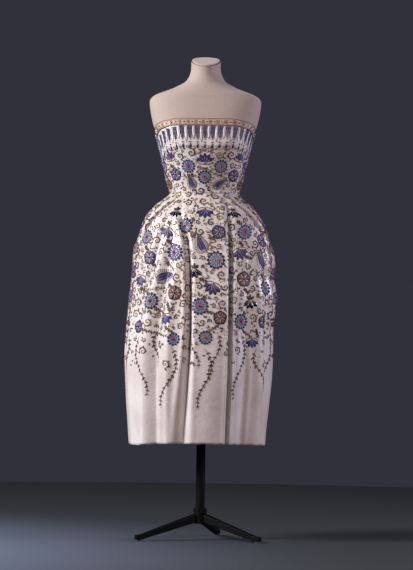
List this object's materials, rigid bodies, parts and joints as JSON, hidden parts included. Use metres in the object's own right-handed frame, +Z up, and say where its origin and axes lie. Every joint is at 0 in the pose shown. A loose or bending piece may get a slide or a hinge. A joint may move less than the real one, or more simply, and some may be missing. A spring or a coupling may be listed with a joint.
{
  "type": "strapless dress on a limbless dress form with a tripod stand",
  "caption": "Strapless satin dress with a fitted bodice and a pleated bell skirt, embroidered with flowers and scrolls, on a headless linen dress form with a steel tripod stand.",
  "frame": {"origin": "middle of the footprint of the whole, on the floor under the stand's feet", "axes": "+Z up along the stand's pole; the front of the dress faces -Y; +X is on the viewer's right as the front is looked at"},
  "size_m": [0.4598, 0.3877, 1.472],
  "materials": {
    "satin": "ivory silk satin with a soft sheen, worked all over with beads, sequins and metal thread",
    "braid": "copper-gold metal-thread braid with dark red beads",
    "linen": "pinkish beige plain-weave linen, matt",
    "board": "plain brown board, satin varnish",
    "black_steel": "black paint, half gloss",
    "rubber": "matt black rubber"
  },
  "bodies": {
    "root": {"bodice_front": "satin", "bodice_side_front_left": "satin", "bodice_side_front_right": "satin", "bodice_side_back_left": "satin", "bodice_side_back_right": "satin", "bodice_back_left": "satin", "bodice_back_right": "satin", "skirt_front": "satin", "skirt_side_front_left": "satin", "skirt_side_front_right": "satin", "skirt_back_left": "satin", "skirt_back_right": "satin", "back_placket": "satin", "top_band": "braid", "form_torso": "linen", "neck_cap": "linen", "form_board": "board", "pole_flange": "black_steel", "stand_pole": "black_steel", "stand_collar": "black_steel", "stand_hub": "black_steel", "leg_left": "black_steel", "leg_right": "black_steel", "leg_back": "black_steel", "foot_left": "rubber", "foot_right": "rubber", "foot_back": "rubber"}
  },
  "joints": []
}
